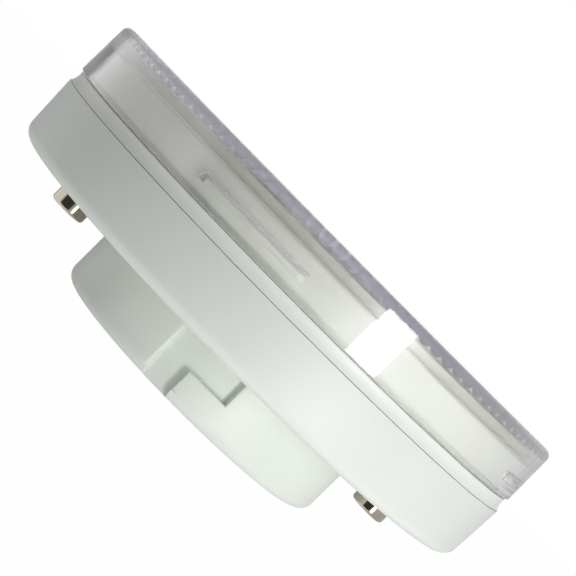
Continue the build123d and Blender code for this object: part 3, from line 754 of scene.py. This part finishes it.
class LAMP_OT_add_tray(bpy.types.Operator):
    """Reflector tray with the band under the cover, its snap ribs and saddles"""

    bl_idname = "lamp.add_tray"
    bl_label = "Reflector Tray"

    def execute(self, context):
        sizes = context.scene.lamp_tray
        lip_r = sizes.lip_radius / MM
        lip_top = TRAY_WALL_TOP_Z + sizes.lip_height / MM
        columns = 180
        bm = bmesh.new()
        outline(
            bm,
            (
                (0, SEAM_Z),
                (SPIGOT_INNER_R, SEAM_Z),
                (SPIGOT_INNER_R, SPIGOT_FOOT_Z),
                (SPIGOT_R, SPIGOT_FOOT_Z, 0.2, 2),
                (SPIGOT_R, SEAM_Z + SEAM_GAP),
                (BAND_FOOT_R, SEAM_Z + SEAM_GAP, 0.06, 2),
                (sizes.waist_radius / MM, WAIST_Z, 0.7, 6),
                (BAND_TOP_R, COVER_FOOT_Z, 0.1, 2),
                (FOOT_RECESS_R, COVER_FOOT_Z),
                (FOOT_RECESS_R, COVER_FOOT_Z + FOOT_RECESS),
                (TRAY_WALL_OUTER_R, COVER_FOOT_Z + FOOT_RECESS),
                (TRAY_WALL_OUTER_R, TRAY_WALL_TOP_Z, 0.25, 4),
                (lip_r, TRAY_WALL_TOP_Z),
                (lip_r, lip_top, 0.15, 2),
                (TRAY_WALL_INNER_R, lip_top, 0.15, 2),
                (TRAY_WALL_INNER_R, TRAY_FLOOR_TOP_Z, 1.6, 6),
                (0, TRAY_FLOOR_TOP_Z),
            ),
        )
        spin_round(bm, columns)
        close_up(bm)
        for vert in bm.verts:
            if abs(radius_of(vert) - lip_r) < 0.01 and vert.co.z > TRAY_WALL_TOP_Z + 0.1:
                column = round(turn_of(vert.co, 0) / 360 * columns)
                if column % 2:
                    vert.co.xy *= 1 - sizes.lip_ribs / MM / lip_r
        holes = bmesh.new()
        for side in (-1, 1):
            x = side * LIMB_PITCH * (LIMB_COUNT - 1) / 2
            y = TUBE_END_Y - TUBE_DROP_R
            add_drum(holes, x, y, SEAM_Z - 1, TRAY_FLOOR_TOP_Z + 1, sizes.hole_radius / MM, 0)
        carve(bm, holes)
        low = sizes.snap_low / MM
        high = sizes.snap_high / MM
        proud = TRAY_WALL_OUTER_R + sizes.snap_proud / MM
        section = (
            (TRAY_WALL_OUTER_R - 0.3, low),
            (proud, low, 0.08, 2),
            (proud, high - 0.5, 0.1, 2),
            (TRAY_WALL_OUTER_R, high),
            (TRAY_WALL_OUTER_R - 0.3, high),
        )
        span = degrees(sizes.snap_span)
        start = degrees(sizes.snap_turn) - span / 2
        for quarter in range(4):
            rib = ring_part(section, start + 90 * quarter, span, 20)
            for vert in rib.verts:
                along = turn_of(vert.co, start + 90 * quarter - 5) - 5
                if min(along, span - along) < 0.1 and radius_of(vert) > TRAY_WALL_OUTER_R:
                    vert.co.xy *= TRAY_WALL_OUTER_R / radius_of(vert)
            join(bm, rib)
        for x in (-2.5, -0.5, 0.5, 2.5):
            saddle = bmesh.new()
            self.shape_saddle(saddle, x * LIMB_PITCH)
            join(bm, saddle)
        plastic = moulded_plastic(
            "PBT, moulded smooth and white", sizes.tint, "#E7E9E4", 0.42, 0.4, 0.15
        )
        finish_piece("tray", bm, plastic, "reflector_tray", 35)
        return {"FINISHED"}

    def shape_saddle(self, bm, x):
        """A cradle under one limb of the tube, on a web that stands on the tray's floor."""
        half_arc = radians(65)
        half_length = 1.1
        thickness = 0.8
        start = Vector((0, 0, -(TUBE_R + 0.02)))
        corners = [start, start + Vector((0, 0, -thickness))]
        verts = [
            bm.verts.new((co.x, y, co.z)) for y in (-half_length, half_length) for co in corners
        ]
        for a, b in ((0, 1), (1, 3), (3, 2), (2, 0)):
            bm.edges.new((verts[a], verts[b]))
        bmesh.ops.rotate(
            bm, verts=bm.verts[:], cent=(0, 0, 0), matrix=Matrix.Rotation(half_arc, 3, "Y")
        )
        bmesh.ops.spin(
            bm,
            geom=bm.verts[:] + bm.edges[:],
            cent=(0, 0, 0),
            axis=(0, 1, 0),
            angle=-2 * half_arc,
            steps=16,
        )
        bmesh.ops.holes_fill(bm, edges=bm.edges[:])
        web_height = TUBE_Z - TUBE_R - TRAY_FLOOR_TOP_Z + 0.4
        bmesh.ops.translate(bm, vec=(x, 0, TUBE_Z), verts=bm.verts[:])
        bmesh.ops.create_cube(
            bm,
            size=1,
            matrix=Matrix.Translation((x, 0, TRAY_FLOOR_TOP_Z + web_height / 2 - 0.45))
            @ Matrix.Diagonal((5.2, 1.2, web_height + 0.5, 1)),
        )
        close_up(bm)


class LAMP_OT_add_tube(bpy.types.Operator):
    """Discharge tube, bent flat into six limbs, with its pinched seals"""

    bl_idname = "lamp.add_tube"
    bl_label = "Discharge Tube"

    def execute(self, context):
        sizes = context.scene.lamp_tube
        bm = bmesh.new()
        first_x = -LIMB_PITCH * (LIMB_COUNT - 1) / 2
        foot = Vector((first_x, TUBE_END_Y - TUBE_DROP_R, TUBE_STRAIGHT_FOOT_Z))
        bmesh.ops.create_circle(
            bm,
            cap_ends=False,
            segments=sizes.sides,
            radius=TUBE_R,
            matrix=Matrix.Translation(foot),
        )
        ring = bm.edges[:]
        seal_angle = atan2(first_x, TUBE_DROP_R - TUBE_END_Y)
        self.pinch(bm, ring, foot, seal_angle, sizes)
        ring = self.run(bm, ring, (0, 0, TUBE_Z - TUBE_DROP_R - TUBE_STRAIGHT_FOOT_Z))
        drop_centre = (first_x, TUBE_END_Y, TUBE_Z - TUBE_DROP_R)
        ring = self.bend(bm, ring, drop_centre, (-1, 0, 0), pi / 2, 10)
        here = TUBE_END_Y
        for limb in range(LIMB_COUNT - 1):
            centre_x = first_x + (limb + 0.5) * LIMB_PITCH
            outward = 1 if limb % 2 == 0 else -1
            centre_y = outward * sqrt(BEND_REACH**2 - centre_x**2)
            ring = self.run(bm, ring, (0, centre_y - here, 0))
            ring = self.bend(bm, ring, (centre_x, centre_y, TUBE_Z), (0, 0, -outward), pi, 20)
            here = centre_y
        ring = self.run(bm, ring, (0, TUBE_END_Y - here, 0))
        drop_centre = (-first_x, TUBE_END_Y, TUBE_Z - TUBE_DROP_R)
        ring = self.bend(bm, ring, drop_centre, (1, 0, 0), pi / 2, 10)
        ring = self.run(bm, ring, (0, 0, TUBE_STRAIGHT_FOOT_Z - TUBE_Z + TUBE_DROP_R))
        foot.x = -first_x
        self.pinch(bm, ring, foot, -seal_angle, sizes)
        close_up(bm)
        glass = phosphor_glass(sizes.coating)
        finish_piece("tube", bm, glass, "discharge_tube", 50)
        return {"FINISHED"}

    def run(self, bm, ring, way):
        """Draw the ring out straight."""
        drawn = bmesh.ops.extrude_edge_only(bm, edges=ring)["geom"]
        verts = [part for part in drawn if isinstance(part, bmesh.types.BMVert)]
        bmesh.ops.translate(bm, vec=way, verts=verts)
        return self.far_ring(drawn, verts)

    def bend(self, bm, ring, centre, axis, angle, steps):
        """Draw the ring round a bend."""
        drawn = bmesh.ops.spin(
            bm, geom=ring, cent=centre, axis=axis, angle=angle, steps=steps, use_merge=False
        )["geom_last"]
        verts = [part for part in drawn if isinstance(part, bmesh.types.BMVert)]
        return self.far_ring(drawn, verts)

    def far_ring(self, drawn, verts):
        """The edges whose ends are both among these points."""
        ends = set(verts)
        edges = [part for part in drawn if isinstance(part, bmesh.types.BMEdge)]
        return [line for line in edges if line.verts[0] in ends and line.verts[1] in ends]

    def pinch(self, bm, ring, foot, angle, sizes):
        """Flatten the tube's end into its seal and close it."""
        flatten = (sizes.pinch_width / MM / 2 / TUBE_R, sizes.pinch_thickness / MM / 2 / TUBE_R, 1)
        steps = 5
        turned = Matrix.Rotation(-angle, 4, "Z") @ Matrix.Translation(-foot)
        for step in range(1, steps + 1):
            ring = self.run(bm, ring, (0, 0, (PINCH_FOOT_Z - TUBE_STRAIGHT_FOOT_Z) / steps))
            share = step / steps
            last = 1 - cos(pi * (step - 1) / steps)
            now = 1 - cos(pi * share)
            scale = [(2 + (f - 1) * now) / (2 + (f - 1) * last) for f in flatten]
            verts = list({vert for line in ring for vert in line.verts})
            bmesh.ops.scale(bm, vec=scale, verts=verts, space=turned)
        bmesh.ops.edgeloop_fill(bm, edges=ring)


class LAMP_OT_add_cover(bpy.types.Operator):
    """Clear front cover with a ring of radial flutes under its plate"""

    bl_idname = "lamp.add_cover"
    bl_label = "Front Cover"

    def execute(self, context):
        sizes = context.scene.lamp_cover
        count = sizes.flute_count
        depth = sizes.flute_depth / MM
        steps = 6
        foot_z = COVER_FOOT_Z + FOOT_GROOVE
        support = sizes.edge / MM + 0.1
        draft = (COVER_FOOT_R - COVER_TOP_R) / (LAMP_HEIGHT - foot_z)
        bm = bmesh.new()
        outline(
            bm,
            (
                (0, LAMP_HEIGHT),
                (COVER_TOP_R, LAMP_HEIGHT, sizes.edge / MM, 7),
                (COVER_TOP_R + draft * support, LAMP_HEIGHT - support),
                (COVER_FOOT_R, foot_z, sizes.foot_edge / MM, 4),
                (COVER_BORE_R, foot_z, 0.1, 2),
                (COVER_BORE_R, FLUTE_CREST_Z),
                (FLUTE_MIDDLE_R, FLUTE_CREST_Z),
                (FLUTE_INNER_R, FLUTE_CREST_Z),
                (0, FLUTE_CREST_Z),
            ),
        )
        pitch = 2 * pi / count
        turn_round(bm, bm.verts[:], -pitch / 2)
        spin_round(bm, steps, pitch)
        half_width = COVER_BORE_R * pitch / 2
        flank_r = (half_width**2 + depth**2) / (2 * depth)
        for vert in bm.verts:
            reach = radius_of(vert)
            if abs(vert.co.z - FLUTE_CREST_Z) > TOUCH or reach < FLUTE_INNER_R + 0.5:
                continue
            across = atan2(vert.co.y, vert.co.x) * COVER_BORE_R
            rise = flank_r - sqrt(max(flank_r**2 - across**2, 0))
            vert.co.z += rise * reach / COVER_BORE_R
        bmesh.ops.spin(
            bm,
            geom=bm.verts[:] + bm.edges[:] + bm.faces[:],
            cent=(0, 0, 0),
            axis=(0, 0, 1),
            angle=2 * pi,
            steps=count,
            use_duplicate=True,
        )
        close_up(bm)
        self.cut_pockets(bm, context.scene.lamp_tray)
        clear = clear_polycarbonate(sizes.tint, sizes.polish, sizes.texture)
        finish_piece("cover", bm, clear, "front_cover", 15)
        return {"FINISHED"}

    def cut_pockets(self, bm, snaps):
        """Sink a pocket into the skirt for each of the tray's snap ribs."""
        room = snaps.snap_clearance / MM
        floor_r = TRAY_WALL_OUTER_R + snaps.snap_proud / MM + room
        low = snaps.snap_low / MM - room
        high = snaps.snap_high / MM + room
        section = (
            (COVER_BORE_R - 0.4, low),
            (floor_r, low),
            (floor_r, high, 0.3, 4),
            (COVER_BORE_R - 0.4, high),
        )
        span = degrees(snaps.snap_span) + 0.3
        start = degrees(snaps.snap_turn) - span / 2
        pockets = bmesh.new()
        for quarter in range(4):
            join(pockets, ring_part(section, start + 90 * quarter, span, 24))
        carve(bm, pockets)


class LAMP_OT_dress_ballast(bpy.types.Operator):
    """Finishes for the ballast board and the parts on it, which keep their solids"""

    bl_idname = "lamp.dress_ballast"
    bl_label = "Ballast Finishes"

    def execute(self, context):
        steel = tinned_steel()
        sleeve = moulded_plastic("Silicone sleeving", "#E8E6DE", "#DEDCD3", 0.55, 0.5, 0.1)
        rubber = moulded_plastic("Silicone, cured", "#F0F0EE", "#E5E5E2", 0.5, 0.8, 0.1)
        laminate = speckled("Paper laminate, pressed", "#B98A4A", "#C9A063", 0.8, 0.5, 0.1)
        ferrite = speckled("Ferrite, sintered", "#26262A", "#3A3A3F", 0.15, 0.7, 0.4)
        bobbin = moulded_plastic("Phenolic, moulded", "#262424", "#1C1B1B", 0.5, 0.2, 0.2)
        copper = enamelled_copper()
        can = moulded_plastic("PVC sleeve, shrunk", "#1E2228", "#181B20", 0.3, 3.0, 0.3, 0.3)
        dip = moulded_plastic("Epoxy dip", "#9C4A22", "#8E401C", 0.25, 2.5, 0.5, 0.4)
        epoxy = speckled("Epoxy, transfer moulded", "#1A1A1B", "#2A2A2B", 0.1, 0.6, 0.3)
        glass = moulded_plastic("Glass bead, sealed", "#3C74B4", "#2F66A6", 0.08, 2.0, 0.05, 0.8)
        lacquer = moulded_plastic("Lacquer, baked", "#CDB98A", "#C0AB7A", 0.35, 1.5, 0.2, 0.3)
        finishes = {
            "solder_tags": steel,
            "board_posts": steel,
            "tube_leads": steel,
            "mains_wires": sleeve,
            "tube_collars": rubber,
            "circuit_board": laminate,
            "choke_core": ferrite,
            "feedback_ring": ferrite,
            "choke_bobbin": bobbin,
            "choke_winding": copper,
            "feedback_windings": copper,
            "smoothing_capacitor": can,
            "input_inductor": can,
            "resonant_capacitor": dip,
            "blocking_capacitor": dip,
            "transistor_upper": epoxy,
            "transistor_lower": epoxy,
            "rectifier_diodes": epoxy,
            "starter_diac": glass,
            "fusible_resistor": lacquer,
            "drive_resistors": lacquer,
        }
        for node, material in finishes.items():
            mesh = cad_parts[node].data
            if not mesh.materials:
                mesh.materials.append(material)
            for place in range(len(mesh.materials)):
                mesh.materials[place] = material
        return {"FINISHED"}


class LAMP_OT_set_stage(bpy.types.Operator):
    """Floor, backdrop, lights and camera"""

    bl_idname = "lamp.set_stage"
    bl_label = "Studio"

    def execute(self, context):
        stage = context.scene.lamp_stage
        self.lay_floor(stage)
        self.set_world(stage)
        self.allow_bounces()
        above = Matrix.Translation((0, 0, OVERHEAD * MM))
        strip = self.facing(*STRIP_PLACE)
        wide = self.facing(*WIDE_PLACE)
        self.place_light("Strip softbox", strip, STRIP_SIZE, stage.key_radiance, True)
        self.place_light("Wide softbox", wide, WIDE_SIZE, stage.side_radiance, False)
        self.place_light("Overhead softbox", above, OVERHEAD_SIZE, stage.top_radiance, False)
        self.place_camera(stage)
        context.scene.view_settings.view_transform = "Standard"
        return {"FINISHED"}

    def lay_floor(self, stage):
        """A sheet of pale paper under the lamp."""
        bm = bmesh.new()
        below = Matrix.Translation((0, 0, -FLOOR_GAP * MM))
        bmesh.ops.create_circle(bm, cap_ends=True, segments=96, radius=FLOOR_R * MM, matrix=below)
        mesh = bpy.data.meshes.new("floor")
        bm.to_mesh(mesh)
        bm.free()
        mesh.materials.append(studio_paper(stage.floor_tint))
        floor = bpy.data.objects.new("floor", mesh)
        floor.visible_shadow = False
        floor.visible_glossy = False
        bpy.context.scene.collection.objects.link(floor)

    def set_world(self, stage):
        """White to the eye, a soft even fill of light, and for mirrors a dim room before white paper."""
        world = bpy.data.worlds.new("Studio")
        bpy.context.scene.world = world
        world.use_nodes = True
        tree = world.node_tree
        tree.nodes.clear()
        path = add_node(tree, "ShaderNodeLightPath")
        way = add_node(tree, "ShaderNodeTexCoord").outputs["Generated"]
        turn = stage.camera_turn
        forward = Vector((sin(turn), cos(turn), 0))
        rightward = Vector((cos(turn), -sin(turn), 0))
        dot = {"operation": "DOT_PRODUCT"}
        ahead, across, facing = [
            add_node(tree, "ShaderNodeVectorMath", dot, _0=way, _1=axis).outputs["Value"]
            for axis in (forward, rightward, forward + 0.35 * rightward)
        ]
        rise = add_node(tree, "ShaderNodeSeparateXYZ", Vector=way).outputs["Z"]
        wide = {"From_Min": -0.6, "From_Max": 0.6}
        sides, gloom = [
            add_node(tree, "ShaderNodeMapRange", Value=across, To_Min=left, To_Max=right, **wide)
            for left, right in (
                (stage.left_side, stage.right_side),
                (stage.left_gloom, stage.right_gloom),
            )
        ]
        room = stage.room
        for way_in, low, high, brightness in (
            (facing, -0.93, -0.75, sides),
            (ahead, 0.72, 0.84, gloom),
            (ahead, 0.95, 0.985, stage.paper),
            (rise, 0.1, 0.4, stage.ceiling),
        ):
            room = add_node(
                tree,
                "ShaderNodeMapRange",
                {"interpolation_type": "SMOOTHSTEP"},
                Value=way_in,
                From_Min=low,
                From_Max=high,
                To_Min=room,
                To_Max=brightness,
            )
        mirrored = add_node(
            tree,
            "ShaderNodeMath",
            {"operation": "MAXIMUM"},
            _0=path.outputs["Is Glossy Ray"],
            _1=path.outputs["Is Transmission Ray"],
        )
        direct = add_node(
            tree,
            "ShaderNodeMath",
            {"operation": "GREATER_THAN"},
            _0=mirrored,
            _1=path.outputs["Diffuse Depth"],
        )
        strength = add_node(tree, "ShaderNodeMapRange", Value=direct, To_Min=stage.fill, To_Max=room)
        light = add_node(tree, "ShaderNodeBackground", Color=(1, 1, 1, 1), Strength=strength)
        white = add_node(tree, "ShaderNodeBackground", Color=(1, 1, 1, 1), Strength=1.0)
        seen = path.outputs["Is Camera Ray"]
        mix = add_node(tree, "ShaderNodeMixShader", _0=seen, _1=light, _2=white)
        add_node(tree, "ShaderNodeOutputWorld", Surface=mix)

    def allow_bounces(self):
        """Enough bounces for light that is reflected many times inside the clear cover."""
        cycles = bpy.context.scene.cycles
        cycles.max_bounces = BOUNCES
        cycles.transmission_bounces = BOUNCES
        cycles.glossy_bounces = BOUNCES
        cycles.diffuse_bounces = DIFFUSE_BOUNCES

    def facing(self, turn, distance, height):
        """A place round the lamp at this angle right of the camera, turned to face the axis."""
        angle = radians(turn) - bpy.context.scene.lamp_stage.camera_turn
        spot = Vector((distance * sin(angle), -distance * cos(angle), height)) * MM
        return Matrix.Translation(spot) @ Matrix.Rotation(angle, 4, "Z") @ Matrix.Rotation(pi / 2, 4, "X")

    def place_light(self, name, place, size, radiance, mirrored):
        """A softbox at this place, which polished faces mirror or not."""
        data = bpy.data.lights.new(name, "AREA")
        data.shape = "RECTANGLE"
        data.size = size[0] * MM
        data.size_y = size[1] * MM
        data.energy = radiance * pi * data.size * data.size_y
        light = bpy.data.objects.new(name, data)
        bpy.context.scene.collection.objects.link(light)
        light.matrix_world = place
        light.visible_camera = False
        light.visible_glossy = mirrored
        light.visible_transmission = mirrored

    def place_camera(self, stage):
        """The camera at the photograph's angle, rolled so that the lamp stands on its edge."""
        data = bpy.data.cameras.new("Camera")
        data.lens = stage.camera_lens
        data.sensor_width = 36
        data.clip_start = 0.01
        data.clip_end = 100
        camera = bpy.data.objects.new("Camera", data)
        bpy.context.scene.collection.objects.link(camera)
        turn = stage.camera_turn
        ahead = Vector((sin(turn), cos(turn), 0))
        right = Vector((cos(turn), -sin(turn), 0))
        spot = right * stage.camera_shift - ahead * stage.camera_distance
        spot.z = stage.camera_height
        base = Matrix.Translation(spot) @ Matrix.Rotation(-turn, 4, "Z")
        tilt = Matrix.Rotation(pi / 2 - stage.camera_pitch, 4, "X")
        camera.matrix_world = base @ tilt @ Matrix.Rotation(stage.camera_roll, 4, "Z")
        bpy.context.scene.camera = camera


class LAMP_PT_pieces(bpy.types.Panel):
    """Lists the lamp's pieces and their sizes"""

    bl_label = "Flat Lamp"
    bl_idname = "LAMP_PT_pieces"
    bl_space_type = "VIEW_3D"
    bl_region_type = "UI"
    bl_category = "Lamp"

    def draw(self, context):
        for operator, group in OPERATORS:
            box = self.layout.box()
            box.operator(operator.bl_idname)
            if group:
                settings = getattr(context.scene, group)
                for name in settings.__annotations__:
                    box.prop(settings, name)


OPERATORS = (
    (LAMP_OT_set_stage, "lamp_stage"),
    (LAMP_OT_add_housing, "lamp_housing"),
    (LAMP_OT_add_pins, "lamp_pins"),
    (LAMP_OT_add_tray, "lamp_tray"),
    (LAMP_OT_add_tube, "lamp_tube"),
    (LAMP_OT_add_cover, "lamp_cover"),
    (LAMP_OT_dress_ballast, None),
)


def register():
    for name, group in GROUPS:
        bpy.utils.register_class(group)
        setattr(bpy.types.Scene, name, PointerProperty(type=group))
    for operator, _ in OPERATORS:
        bpy.utils.register_class(operator)
    bpy.utils.register_class(LAMP_PT_pieces)


def unregister():
    bpy.utils.unregister_class(LAMP_PT_pieces)
    for operator, _ in reversed(OPERATORS):
        bpy.utils.unregister_class(operator)
    for name, group in reversed(GROUPS):
        delattr(bpy.types.Scene, name)
        bpy.utils.unregister_class(group)


def main():
    register()
    bpy.ops.lamp.set_stage()
    bpy.ops.lamp.add_housing()
    bpy.ops.lamp.add_pins()
    bpy.ops.lamp.add_tray()
    bpy.ops.lamp.add_tube()
    bpy.ops.lamp.add_cover()
    bpy.ops.lamp.dress_ballast()
    bpy.context.view_layer.update()


if __name__ == "__main__":
    main()
